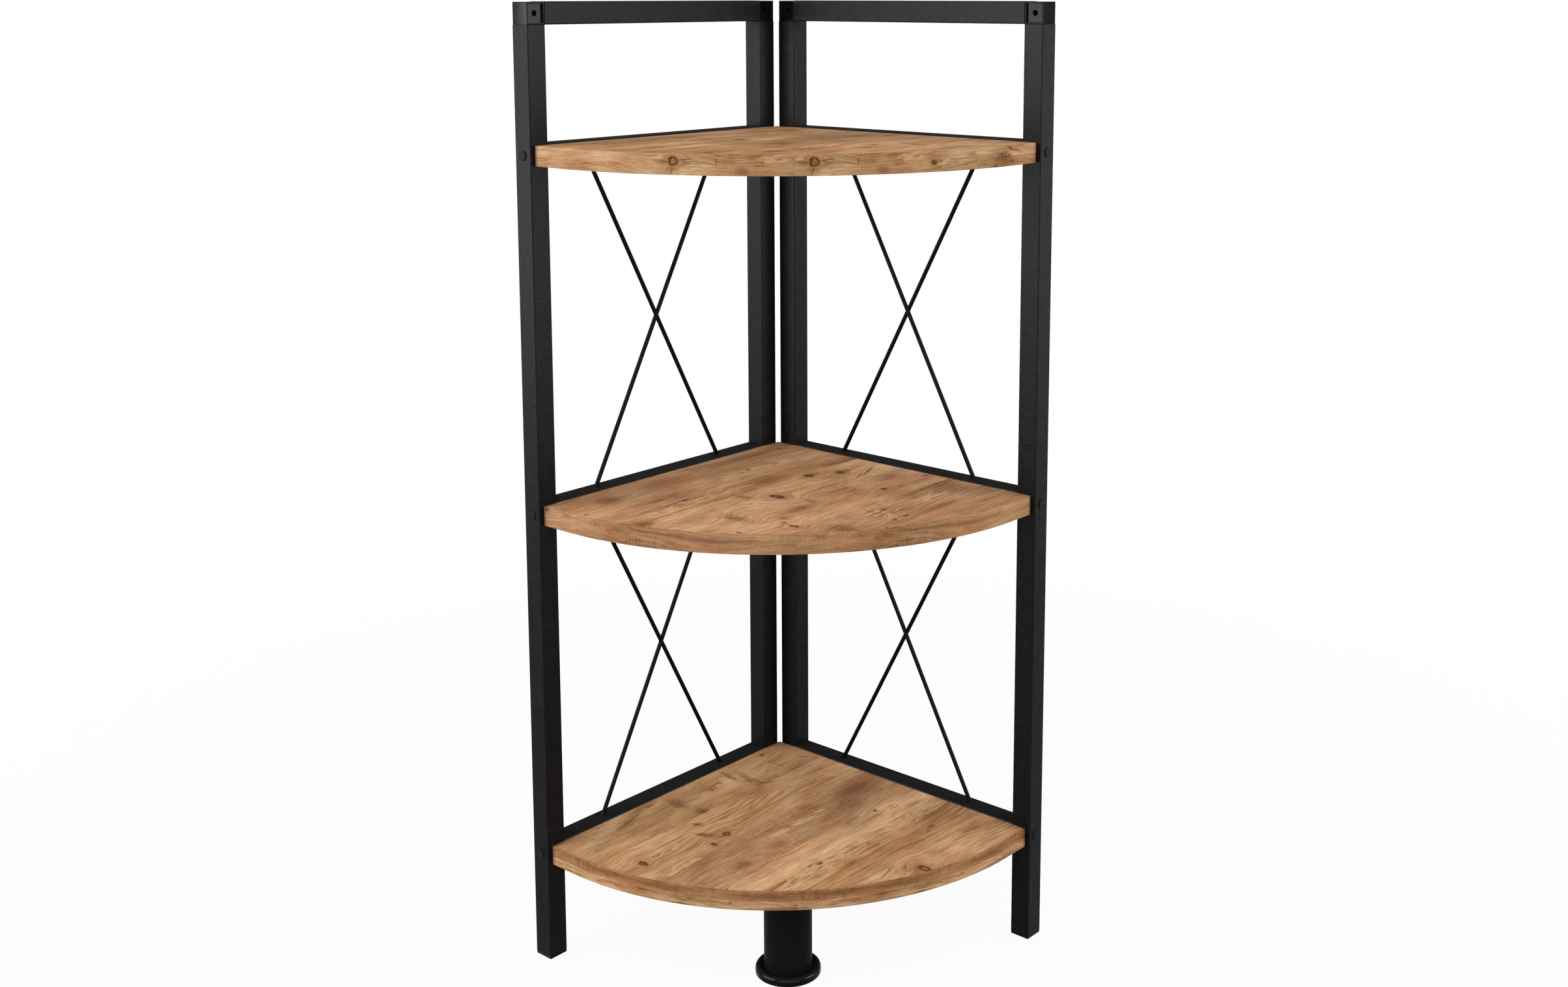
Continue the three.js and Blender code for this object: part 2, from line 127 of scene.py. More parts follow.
class Shader:
    """A node material that is built by short calls."""

    def __init__(self, name):
        self.material = bpy.data.materials.new(name)
        self.material.use_nodes = True
        self.tree = self.material.node_tree
        self.tree.nodes.clear()
        self.output = self.tree.nodes.new("ShaderNodeOutputMaterial")
        self.surface = self.tree.nodes.new("ShaderNodeBsdfPrincipled")
        self.tree.links.new(self.surface.outputs["BSDF"], self.output.inputs["Surface"])
        coordinate = self.tree.nodes.new("ShaderNodeTexCoord")
        self.place = self.scaled(coordinate.outputs["Object"], (1 / MM, 1 / MM, 1 / MM))

    def put(self, socket, value):
        """Links a socket or sets a value. None leaves the node's own value."""
        if isinstance(value, bpy.types.NodeSocket):
            self.tree.links.new(value, socket)
        elif value is not None:
            socket.default_value = value

    def math(self, operation, *values, clamp=False):
        node = self.tree.nodes.new("ShaderNodeMath")
        node.operation = operation
        node.use_clamp = clamp
        for socket, value in zip(node.inputs, values):
            self.put(socket, value)
        return node.outputs[0]

    def plus(self, first, second):
        return self.math("ADD", first, second)

    def minus(self, first, second):
        return self.math("SUBTRACT", first, second)

    def times(self, first, second):
        return self.math("MULTIPLY", first, second)

    def times_plus(self, value, factor, constant, clamp=False):
        return self.math("MULTIPLY_ADD", value, factor, constant, clamp=clamp)

    def chain(self, operation, values):
        """One value from a list of them, by the same operation on one after another."""
        result = values[0]
        for value in values[1:]:
            result = self.math(operation, result, value)
        return result

    def vector(self, operation, *values):
        node = self.tree.nodes.new("ShaderNodeVectorMath")
        node.operation = operation
        for socket, value in zip(node.inputs, values):
            self.put(socket, value)
        return node.outputs["Value" if operation == "LENGTH" else "Vector"]

    def scaled(self, vector, factors):
        return self.vector("MULTIPLY", vector, factors)

    def split(self, vector):
        node = self.tree.nodes.new("ShaderNodeSeparateXYZ")
        self.put(node.inputs[0], vector)
        return node.outputs

    def joined(self, x, y, z):
        node = self.tree.nodes.new("ShaderNodeCombineXYZ")
        for socket, value in zip(node.inputs, (x, y, z)):
            self.put(socket, value)
        return node.outputs[0]

    def noise(self, vector, detail, roughness=0.5, distortion=0.0, colour=False):
        node = self.tree.nodes.new("ShaderNodeTexNoise")
        self.put(node.inputs["Vector"], vector)
        node.inputs["Scale"].default_value = 1.0
        node.inputs["Detail"].default_value = detail
        node.inputs["Roughness"].default_value = roughness
        node.inputs["Distortion"].default_value = distortion
        return node.outputs["Color" if colour else "Fac"]

    def ramp(self, factor, stops, interpolation="LINEAR"):
        """stops are (position, colour) with a colour of three parts or one grey value."""
        node = self.tree.nodes.new("ShaderNodeValToRGB")
        band = node.color_ramp
        band.interpolation = interpolation
        while len(band.elements) < len(stops):
            band.elements.new(1.0)
        for element, (position, colour) in zip(band.elements, stops):
            element.position = position
            element.color = opaque(colour if isinstance(colour, tuple) else (colour,) * 3)
        self.put(node.inputs["Fac"], factor)
        return node.outputs["Color"]

    def step(self, value, low, high):
        """0 at low, 1 at high and smooth between; low may be the larger of the two."""
        node = self.tree.nodes.new("ShaderNodeMapRange")
        node.interpolation_type = "SMOOTHSTEP"
        self.put(node.inputs["Value"], value)
        node.inputs["From Min"].default_value = low
        node.inputs["From Max"].default_value = high
        return node.outputs["Result"]

    def mix(self, factor, first, second, blend="MIX"):
        node = self.tree.nodes.new("ShaderNodeMix")
        node.data_type = "RGBA"
        node.blend_type = blend
        inputs = {socket.identifier: socket for socket in node.inputs}
        outputs = {socket.identifier: socket for socket in node.outputs}
        self.put(inputs["Factor_Float"], factor)
        self.put(inputs["A_Color"], opaque(first))
        self.put(inputs["B_Color"], opaque(second))
        return outputs["Result_Color"]

    def bump(self, height, distance):
        node = self.tree.nodes.new("ShaderNodeBump")
        node.inputs["Strength"].default_value = 1.0
        node.inputs["Distance"].default_value = distance * MM
        self.put(node.inputs["Height"], height)
        return node.outputs["Normal"]

    def finish(self, colour, roughness, normal=None, specular=0.5, metallic=0.0):
        self.put(self.surface.inputs["Base Color"], colour)
        self.put(self.surface.inputs["Roughness"], roughness)
        self.put(self.surface.inputs["Normal"], normal)
        self.surface.inputs["Specular IOR Level"].default_value = specular
        self.surface.inputs["Metallic"].default_value = metallic
        return self.material


def srgb(text):
    """A colour written as six hexadecimal digits, in linear values, by the curve of the sRGB standard."""
    parts = [int(text[start:start + 2], 16) / 255 for start in (0, 2, 4)]
    return tuple(part / 12.92 if part <= 0.04045 else ((part + 0.055) / 1.055) ** 2.4 for part in parts)


# How a coat varies. Its clouds are this many times broader than its grain, and dust adds to the
# roughness of what faces up.
CLOUD_BREADTH = 4
CLOUD_RELIEF = 0.8
COAT_BLEND = (0.38, 0.62)
GLOSS_VARIATION = 0.35
DUST_LIES = (0.6, 0.9)
DUST_ROUGHNESS = 0.6


def painted(name, darker, lighter, grain, roughness, relief, specular):
    """A coat or plastic: two near tones, a fine grain of that size, an uneven gloss and some dust."""
    shader = Shader(name)
    place = shader.scaled(shader.place, (1 / grain,) * 3)
    fine = shader.noise(place, detail=3, roughness=0.55, distortion=0.25)
    cloud = shader.noise(shader.scaled(shader.place, (1 / CLOUD_BREADTH / grain,) * 3), detail=2)
    both = shader.plus(shader.times(fine, 0.5), shader.times(cloud, 0.5))
    colour = shader.mix(shader.step(both, *COAT_BLEND), srgb(darker), srgb(lighter))
    least = 1 - GLOSS_VARIATION / 2
    gloss = shader.times_plus(cloud, GLOSS_VARIATION * roughness, least * roughness)
    facing = shader.tree.nodes.new("ShaderNodeNewGeometry").outputs["Normal"]
    dust = shader.step(shader.split(facing)[2], *DUST_LIES)
    gloss = shader.times_plus(dust, DUST_ROUGHNESS, gloss, clamp=True)
    height = shader.times_plus(cloud, CLOUD_RELIEF, fine)
    return shader.finish(colour, gloss, shader.bump(height, relief), specular)


ZINC_CLOUDS_PER_MM = 0.6
ZINC_ROUGHNESS = 0.24
ZINC_VARIATION = 0.2
ZINC_RELIEF = 0.02


def zinc_plated(name):
    """Bright metal with a faint cloud in its tone and gloss."""
    shader = Shader(name)
    cloud = shader.noise(shader.scaled(shader.place, (ZINC_CLOUDS_PER_MM,) * 3), detail=3)
    colour = shader.mix(cloud, srgb("8f9092"), srgb("b4b3ac"))
    gloss = shader.times_plus(cloud, ZINC_VARIATION, ZINC_ROUGHNESS)
    return shader.finish(colour, gloss, shader.bump(cloud, ZINC_RELIEF), metallic=1.0)


# Wood

# Noises over the board: changes per millimetre across and along it, detail and roughness
NUDGE = ((0.2, 0.12, 1), 2, 0.5)
DRIFT = ((0.013, 0.0042, 1), 1, 0.5)
WAVER = ((0.07, 0.016, 1), 2, 0.5)
CLOUD = ((0.03, 0.022, 1), 3, 0.6)
SPECK = ((0.8, 0.6, 1), 3, 0.65)
WARMTH = ((0.045, 0.016, 1), 3, 0.6)
UNEVEN = ((0.22, 0.22, 1), 1, 0.5)
RIPPLE_ACROSS = 0.1
RIPPLE_NUDGE = (0.35, 0.35, 0)

# Noises drawn out along the growth lines: changes per millimetre across and along them, a shift that
# gives each its own pattern, detail and roughness
SPACING = (0.055, 0.002, 1.0, 1, 0.55)
PRESENCE = (0.03, 0.012, 2.0, 2, 0.55)
BROAD = (0.045, 0.008, 3.0, 2, 0.55)
STREAK = (0.42, 0.03, 4.0, 4, 0.62)
FIBRE = (1.5, 0.1, 5.0, 3, 0.65)
TORN = (0.36, 0.045, 6.0, 4, 0.68)

# How far the noises and a new stave move the growth lines, in millimetres
NUDGE_REACH = (3.5, 4.5, 0)
DRIFT_REACH = 42.0
WAVER_REACH = 5.5
STAVE_REACH = 37.0
LAST_STAVE_WIDTH = 60

# A spot moves the lines by their offset from its middle, divided by the first value plus the second
# times the distance squared
KNOT_PUSH = (1.0, 0.17)
SWELL_PUSH = (1.8, 0.7)

# Growth lines: how much their distance varies, and how dark they are from one line to the next
LINE_VARIATION = 4.5
LINE_PROFILE = [(0.0, 0.0), (0.45, 0.3), (0.8, 1.0), (0.92, 0.85), (1.0, 0.0)]
LINE_LEAST = 0.25

# Between which two values of its noise each of these sets in
LINES_SHOW = (0.32, 0.6)
RIPPLES_SHOW = (0.4, 0.68)
RIPPLES_SHOW_IN_CLOUD = (0.42, 0.56)
WARMTH_SHOWS = (0.35, 0.7)
UNEVEN_SHOWS = (0.3, 0.62)
PORES_SHOW = (0.63, 0.72)
BETWEEN_SHOWS = (0.46, 0.38)
STRIPS_SHOW_FROM = 0.61

# How much each of these counts
BROAD_WEIGHT = 1.3
CLOUD_WEIGHT = 0.8
STREAK_WEIGHT = 1.4
FIBRE_WEIGHT = 0.85
SPECK_WEIGHT = 0.5
LINE_WEIGHT = 0.5
RIPPLE_WEIGHT = 0.26
STRIP_WEIGHT = 0.66
BETWEEN_WEIGHT = 0.6
HALO_WEIGHT = 0.4
PORE_WEIGHT = 0.3

# Tones, and gains of red, green and blue
SHADE_GAIN = (0.9, 1.15, 1.38)
WARM_GAIN = (1.0, 0.86, 0.82)
DUSK_GAIN = (0.46, 0.37, 0.31)
PALE_STRIP = srgb("c9a67b")
BETWEEN_STRIPS = srgb("85593a")
SMUDGE = srgb("6a4225")
CRACK = srgb("452a17")
KNOT_HALO = srgb("8a6341")
PORE = srgb("6f5038")

# A knot from its middle outwards, with its edge at 0.5: an olive brown heart with a dark rim, or a pale
# heart in a dark ring
HEARTS = {
    "knots": [(0.0, "754c24"), (0.12, "603c1b"), (0.2, "6b451f"), (0.3, "4c2d13"), (0.38, "381f0b"),
              (0.46, "41240e"), (0.6, "824c20")],
    "ringed": [(0.0, "805428"), (0.08, "583616"), (0.14, "966832"), (0.22, "875a2a"), (0.31, "46280d"),
               (0.38, "321b08"), (0.45, "502e11"), (0.54, "8c5424")]}
KNOT_FADES = [(0.0, 1.0), (0.38, 1.0), (0.68, 0.0)]
KNOT_LEAST = 0.76
KNOT_VARIATION = 0.2
HALO_REACH = 3.4

# A strip's noise gains this much inside the strip, and the darker tone sets in towards its middle
STRIP_GAIN = 0.34
STRIP_GAIN_UP_TO = 0.5
BETWEEN_SETS_IN = (0.0, 0.4)

# Gloss, relief and specular level of the finished face
ROUGHNESS = 0.74
STREAK_GLOSS = -0.12
STREAK_RELIEF = 0.8
PORE_RELIEF = -0.5
RELIEF = 0.05
SPECULAR = 0.03


class Wood(Shader):
    """A shader that knows the two directions of a board and the growth lines on it."""

    def __init__(self, name, find_across, find_along, seed):
        super().__init__(name)
        self.across = find_across(self)
        self.along = find_along(self)
        self.seed = seed
        self.flat = self.joined(self.across, self.along, seed)
        scale, detail, roughness = NUDGE
        nudge = self.noise(self.scaled(self.flat, scale), detail, roughness, colour=True)
        self.nudge = self.scaled(self.vector("SUBTRACT", nudge, (0.5, 0.5, 0.5)), NUDGE_REACH)
        self.loose = self.vector("ADD", self.flat, self.nudge)
        self.lines = self.across

    def over_board(self, scale, detail, roughness):
        return self.noise(self.scaled(self.flat, scale), detail, roughness)

    def over_lines(self, per_across, per_along, shift, detail, roughness):
        place = (self.times(self.lines, per_across), self.times(self.along, per_along), self.seed + shift)
        return self.noise(self.joined(*place), detail, roughness)

    def centred(self, noise, weight):
        """A noise about 0 instead of one half, times its weight."""
        return self.times(self.minus(noise, 0.5), weight)

    def reach(self, x, y, half_wide, half_long, degrees=0):
        """Distance from a spot's middle, with 1 at its edge, and the offset across the board."""
        offset = self.vector("SUBTRACT", self.loose, (x, y, self.seed))
        offset_across = self.split(offset)[0]
        if degrees:
            node = self.tree.nodes.new("ShaderNodeVectorRotate")
            node.rotation_type = "Z_AXIS"
            self.put(node.inputs["Vector"], offset)
            node.inputs["Angle"].default_value = math.radians(degrees)
            offset = node.outputs[0]
        distance = self.vector("LENGTH", self.scaled(offset, (1 / half_wide, 1 / half_long, 0)))
        return distance, offset_across

    def cover(self, spots):
        """The most that any spot covers this point: 1 at its middle, 0 at its edge."""
        return self.chain("MAXIMUM", [self.minus(1.0, self.reach(*spot)[0]) for spot in spots])

    def push_lines(self, spots, least, growth):
        """The growth lines flow round these spots. Gives the distance from each of them."""
        distances = []
        for spot in spots:
            distance, offset = self.reach(*spot)
            spread = self.times_plus(self.times(distance, distance), growth, least)
            self.lines = self.minus(self.lines, self.math("DIVIDE", offset, spread))
            distances.append(distance)
        return distances

    def bend_lines(self, jump):
        """The growth lines waver along the board and jump from stave to stave."""
        drift = self.over_board(*DRIFT)
        waver = self.over_board(*WAVER)
        self.lines = self.times_plus(drift, DRIFT_REACH, self.lines)
        self.lines = self.times_plus(waver, WAVER_REACH, self.lines)
        self.lines = self.times_plus(jump, STAVE_REACH, self.lines)

    def growth_lines(self, gap, strength):
        """How dark the growth lines make this point."""
        spacing = self.over_lines(*SPACING)
        ring = self.times_plus(spacing, LINE_VARIATION, self.times(self.lines, 1 / gap))
        ring = self.ramp(self.math("FRACT", ring), LINE_PROFILE)
        present = self.step(self.over_lines(*PRESENCE), *LINES_SHOW)
        shown = self.times_plus(present, 1 - LINE_LEAST, LINE_LEAST)
        return self.times(self.times(ring, strength), shown)

    def ripples(self, weave, cloud, strength):
        """How dark the cross ripples make this point."""
        place = self.scaled(self.flat, (RIPPLE_ACROSS, weave, 1))
        place = self.vector("ADD", place, self.scaled(self.nudge, RIPPLE_NUDGE))
        ripple = self.step(self.noise(place, detail=2), *RIPPLES_SHOW)
        return self.times(self.times(ripple, self.step(cloud, *RIPPLES_SHOW_IN_CLOUD)), strength)

    def stained(self, colour, spots, frays, softness, weight, stain):
        """The colour with a stain on these spots, whose edges are frayed by two weighted noises."""
        frayed = self.plus(*(self.centred(noise, fray) for noise, fray in frays))
        amount = self.plus(self.cover(spots), frayed)
        return self.mix(self.times(self.step(amount, 0.0, softness), weight), colour, stain)

    def with_strips(self, colour, spots, torn_edge):
        """The colour with torn pale strips on these spots and a darker tone between them."""
        torn = self.over_lines(*TORN)
        inside = self.cover(spots)
        amount = self.times_plus(self.math("MINIMUM", inside, STRIP_GAIN_UP_TO), STRIP_GAIN, torn)
        strip = self.step(amount, STRIPS_SHOW_FROM, STRIPS_SHOW_FROM + torn_edge)
        colour = self.mix(self.times(strip, STRIP_WEIGHT), colour, PALE_STRIP)
        between = self.times(self.step(inside, *BETWEEN_SETS_IN), self.step(torn, *BETWEEN_SHOWS))
        return self.mix(self.times(between, BETWEEN_WEIGHT), colour, BETWEEN_STRIPS)

    def with_knots(self, colour, distances, heart, uneven):
        """The colour with a warm halo and a heart on each spot, the heart of uneven strength."""
        distance = self.chain("MINIMUM", distances)
        halo = self.step(distance, HALO_REACH, 1.0)
        colour = self.mix(self.times(halo, HALO_WEIGHT), colour, KNOT_HALO)
        half = self.times(distance, 0.5)
        strength = self.times_plus(uneven, KNOT_VARIATION, KNOT_LEAST)
        strength = self.times(self.ramp(half, KNOT_FADES, "EASE"), strength)
        tone = self.ramp(half, [(place, srgb(text)) for place, text in heart])
        return self.mix(strength, colour, tone)


def wood(name, find_across, find_along, staves, knots=(), ringed=(), swells=(), pale=(), dark=(),
         marks=(), cracks=(), seed=0.0, gap=4.2, weave=0.36, torn_edge=0.07, light=(1.03, 1.08, 1.13)):
    """Pine decor: straight staves, growth lines that flow round knots, torn pale strips, smudges and cracks.

    find_across and find_along are functions of the shader that give the two board directions in
    millimetres, gap is the distance between growth lines, weave the ripples per millimetre along the
    board, torn_edge the softness of the pale strips and light the gain of red, green and blue. That gain
    is partly the board's own tone and partly painted light: higher on the levels in the shade of the
    boards above, lower on the upper level, which gets more light and a sheen.
    """
    shader = Wood(name, find_across, find_along, seed)

    # The place between the first and last joint picks the stave's tone, line offset, strength of the
    # lines and strength of the cross ripples
    first = staves[0][0]
    span = staves[-1][0] + LAST_STAVE_WIDTH - first
    share = shader.math("DIVIDE", shader.minus(shader.across, first), span)
    tones = [((stave[0] - first) / span, srgb(stave[1])) for stave in staves]
    kinds = [((stave[0] - first) / span, stave[2:5]) for stave in staves]
    tone = shader.ramp(share, tones, "CONSTANT")
    jump, line_strength, ripple_strength = shader.split(shader.ramp(share, kinds, "CONSTANT"))

    hearts = {"knots": shader.push_lines(knots, *KNOT_PUSH), "ringed": shader.push_lines(ringed, *KNOT_PUSH)}
    shader.push_lines(swells, *SWELL_PUSH)
    shader.bend_lines(jump)
    broad = shader.over_lines(*BROAD)
    streak = shader.over_lines(*STREAK)
    fibre = shader.over_lines(*FIBRE)
    cloud = shader.over_board(*CLOUD)
    speck = shader.over_board(*SPECK)

    # All of them lighten or darken the stave's tone, blue most and red least
    layers = ((broad, BROAD_WEIGHT), (cloud, CLOUD_WEIGHT), (streak, STREAK_WEIGHT), (fibre, FIBRE_WEIGHT),
              (speck, SPECK_WEIGHT))
    shade = shader.chain("ADD", [shader.centred(layer, weight) for layer, weight in layers])
    shade = shader.minus(shade, shader.times(shader.growth_lines(gap, line_strength), LINE_WEIGHT))
    shade = shader.minus(shade, shader.times(shader.ripples(weave, cloud, ripple_strength), RIPPLE_WEIGHT))
    # The gain's whole part, light, is partly the tone of this board or edging and partly painted light: it
    # lifts the levels in the shade of the boards above and lowers the upper level, which gets more light and
    # a sheen
    gain = [shader.times_plus(shade, part, whole) for part, whole in zip(SHADE_GAIN, light)]
    warmer = shader.mix(1.0, tone, WARM_GAIN, "MULTIPLY")
    tone = shader.mix(shader.step(shader.over_board(*WARMTH), *WARMTH_SHOWS), tone, warmer)
    colour = shader.vector("MULTIPLY", tone, shader.joined(*gain))

    if pale:
        colour = shader.with_strips(colour, pale, torn_edge)
    if dark:
        dusk = shader.mix(1.0, colour, DUSK_GAIN, "MULTIPLY")
        frays = ((streak, 3.6), (fibre, 1.4))
        colour = shader.stained(colour, dark, frays, softness=0.75, weight=0.72, stain=dusk)
    if marks:
        frays = ((streak, 1.8), (speck, 1.6))
        colour = shader.stained(colour, marks, frays, softness=0.6, weight=0.68, stain=SMUDGE)
    if cracks:
        frays = ((fibre, 1.2), (speck, 1.2))
        colour = shader.stained(colour, cracks, frays, softness=0.5, weight=0.8, stain=CRACK)
    uneven = shader.step(shader.over_board(*UNEVEN), *UNEVEN_SHOWS)
    for kind, distances in hearts.items():
        if distances:
            colour = shader.with_knots(colour, distances, HEARTS[kind], uneven)

    pore = shader.step(fibre, *PORES_SHOW)
    colour = shader.mix(shader.times(pore, PORE_WEIGHT), colour, PORE)
    gloss = shader.times_plus(streak, STREAK_GLOSS, ROUGHNESS)
    relief = shader.plus(shader.times(streak, STREAK_RELIEF), shader.times(pore, PORE_RELIEF))
    return shader.finish(colour, gloss, shader.bump(relief, RELIEF), SPECULAR)


def board_across(shader):
    return shader.split(shader.place)[0]


def board_along(shader):
    return shader.split(shader.place)[1]


def edge_along(repeat):
    """Distance round the front from the left end. Beyond the middle the decor starts again."""
    def along(shader):
        x, y, _ = shader.split(shader.place)
        angle = shader.math("ARCTAN2", shader.plus(x, ARC_CENTRE), shader.minus(ARC_CENTRE, y))
        run = shader.times_plus(angle, ARC_RADIUS, SHELF_STRAIGHT)
        return shader.times_plus(shader.math("GREATER_THAN", run, FRONT_HALF), -repeat, run)
    return along


def edge_across(level_bottom):
    """Height above the board's underside."""
    def across(shader):
        return shader.minus(shader.split(shader.place)[2], level_bottom)
    return across


# Staves as (first edge across, tone, offset of the lines, strength of the lines, strength of ripples).
# All others as (across, along, half width, half length) and, if turned, the degrees. The places were
# read from the photograph with its camera.
# light, where given, and wood()'s default for the lower board are gains of red, green and blue, partly the
# board's own tone and partly painted light: higher for the lower boards in the shade of those above, lower
# for the upper board, which gets more light and a sheen
BOARD_DECOR = {
    "lower": dict(
        staves=[(-150, "ae875f", 0.1, 0.4, 0.5), (-90.7, "b58e65", 0.5, 0.8, 0.1),
                (-33, "a67f5b", 0.85, 0.35, 1.0), (23, "b18a62", 0.3, 0.7, 0.1),
                (28, "bb956d", 0.3, 0.6, 0.0), (57, "b28a60", 0.7, 0.9, 0.0),
                (83, "ab8259", 0.2, 1.0, 0.1), (110, "b48d66", 0.6, 0.7, 0.0)],
        knots=[(-138.5, 110.5, 1.8, 3.0), (-37.5, -63.5, 3.2, 2.0), (-59.5, -131.5, 5.2, 3.2),
               (31, 86.5, 1.6, 1.9)],
        ringed=[(138.5, 25.5, 7.2, 4.4), (-43.5, -41, 4.4, 3.6)],
        swells=[(-62, -100, 7, 20), (124, -14, 9, 22), (-66, 60, 8, 30), (-5, -30, 10, 14),
                (-121, 23, 5, 5)],
        pale=[(64, -20, 15, 80), (70, -90, 11, 50), (66, 100, 12, 70), (42, 110, 12, 44),
              (-126, 42, 9, 9), (-8, 20, 5, 60), (-28, -120, 5, 40)],
        dark=[(-112, 60, 26, 6, 12), (-128, 52, 18, 4, 5), (-122, 20, 9, 9), (-96, -22, 14, 8),
              (-124, -26, 24, 9), (-140, -62, 7, 40, -14), (-128, -90, 5, 26, -12),
              (-75, -43, 6, 5, 30), (-54, -53, 12, 6, -25), (-12, 116, 24, 40), (4, 82, 15, 30),
              (8, -24, 9, 15), (10, -75, 9, 13), (78, 120, 7, 40)],
        marks=[(-121, 18, 3.4, 2.6), (-125, 33, 1.2, 6, 35), (-139.9, -47.5, 1.8, 6),
               (-142.7, -61, 1.6, 6), (-93, -21, 5, 8), (-78, -45, 4, 5, 25), (-60, -57, 9, 4, -25),
               (-130, -129, 1.3, 4), (-132, -80, 2.2, 22, -14), (92, 95, 3.2, 6, -10), (95, 86, 2, 3),
               (29.6, -116, 1.3, 4), (-91, 66, 2.2, 9, 20), (-108, 57.6, 1.6, 12, 12),
               (9, -123, 1.6, 2.2)],
        cracks=[(-105, 135, 1.0, 7, 50), (-112, 104, 14, 0.6), (-98, 62, 10, 1.0, 14),
                (-128, 50, 14, 0.7, 6), (-80, -45, 5, 1.2, -25), (61, -28, 2.2, 5), (58, -38, 1.6, 3),
                (66, -33, 1.0, 4), (117, -2, 1.0, 18, -14), (-126, 28, 1.0, 8),
                (-60, -100, 0.6, 12, -12)]),
    "middle": dict(
        # Painted light: a higher gain for this board, which lies in the shade of the upper one
        light=(1.06, 1.11, 1.15),
        staves=[(-150, "a27a56", 0.3, 0.3, 0.6), (-108, "ae8661", 0.7, 0.5, 0.1),
                (-70, "a67c56", 0.1, 0.8, 0.0), (-43, "b78f68", 0.45, 0.45, 0.3),
                (14, "b38a64", 0.8, 0.5, 0.2), (70, "ac8661", 0.25, 0.9, 0.4),
                (130, "a47b57", 0.55, 0.4, 0.2)],
        knots=[(-22, 97.5, 4.6, 4.0), (-37, 69, 5.0, 4.2), (-11, -4, 8.0, 4.6), (46.5, 79, 3.0, 2.8),
               (46, 142, 2.2, 2.2), (-95.5, 47, 1.6, 2.2), (-128.5, 128, 2.0, 2.0),
               (88.5, 26, 1.8, 1.7), (115.5, 25, 1.5, 2.6), (116, 8.5, 1.2, 1.5),
               (62.5, -62.5, 5.4, 1.8), (49, -61, 1.8, 1.5), (39, -50.5, 2.0, 1.5),
               (39, -107, 2.0, 1.6)],
        swells=[(-4, 112, 12, 40), (14, -66, 16, 9), (34, -20, 9, 40), (-14, -110, 10, 30)],
        pale=[(-58, -45, 12, 70), (-54, -110, 11, 44), (-10, -34, 18, 20), (-14, 50, 14, 26),
              (8, 90, 8, 44), (96, 14, 24, 13), (-90, 60, 12, 84), (95, 90, 9, 50)],
        dark=[(-122, -40, 14, 46), (-118, -110, 10, 18), (-130, 70, 10, 60), (-55, 30, 9, 36),
              (22, 5, 10, 6), (25, 118, 14, 24), (88, 122, 24, 26), (98, -42, 22, 14),
              (10, -78, 22, 9), (-32, -25, 14, 6), (30, -20, 8, 30), (120, 60, 8, 40),
              (-38, -143, 7, 12)],
        marks=[(-38, -143, 9, 15), (-37, 76, 5.0, 12), (-22, 106, 4.0, 9)],
        cracks=[(-5, 118, 1.6, 22, -22), (-1, 100, 1.2, 14, -24), (3, -82, 9, 1.2, -8),
                (84, 14, 15, 0.8, 6), (112, 18, 0.8, 8, 10), (-66, -66, 3, 6), (125, -15, 1.2, 2.4),
                (-100, -155, 2.2, 3), (94, 17, 0.8, 7, 30), (104, 12, 0.7, 6, -20),
                (78, 34, 12, 0.6, 4), (88, 10, 10, 0.6, -6), (-70, -100, 0.8, 8)]),
    "upper": dict(
        # Painted light: a lower gain for this board, which gets more light and a sheen
        light=(1.0, 1.03, 1.04),
        staves=[(-150, "ab835b", 0.2, 0.5, 0.2), (-106, "b28b62", 0.6, 0.7, 0.1),
                (-34, "a47e59", 0.9, 0.4, 0.4), (25, "b38962", 0.35, 0.7, 0.1),
                (85, "b88f68", 0.75, 0.8, 0.0)],
        knots=[(-58, -1, 4.6, 3.4), (66, 40, 2.2, 3.2), (-40, 130, 2.6, 2.4)],
        swells=[(110, -20, 9, 40), (10, -90, 10, 30)],
        pale=[(115, 60, 18, 60), (-75, -60, 18, 50), (40, 0, 14, 40)],
        dark=[(-8, 105, 20, 40), (12, 128, 10, 10), (-5, -5, 16, 20), (90, 65, 14, 9),
              (45, -65, 12, 12), (-95, 110, 12, 10), (-120, 0, 10, 40)],
        marks=[(-60, 8, 5, 12, 10), (-127, -111, 3, 9), (-51.4, -133.7, 3, 4), (-96, 107, 4.5, 5),
               (-39, 137, 3, 6), (10.7, 126.5, 3.5, 6), (-13, 59.5, 4, 4), (66, 34, 2.4, 9),
               (-58, -67, 2.4, 4), (76.5, 95.6, 2, 7)],
        cracks=[(-108, -98, 1.2, 16, 30), (130, 65, 1.2, 8, 30)]),
}

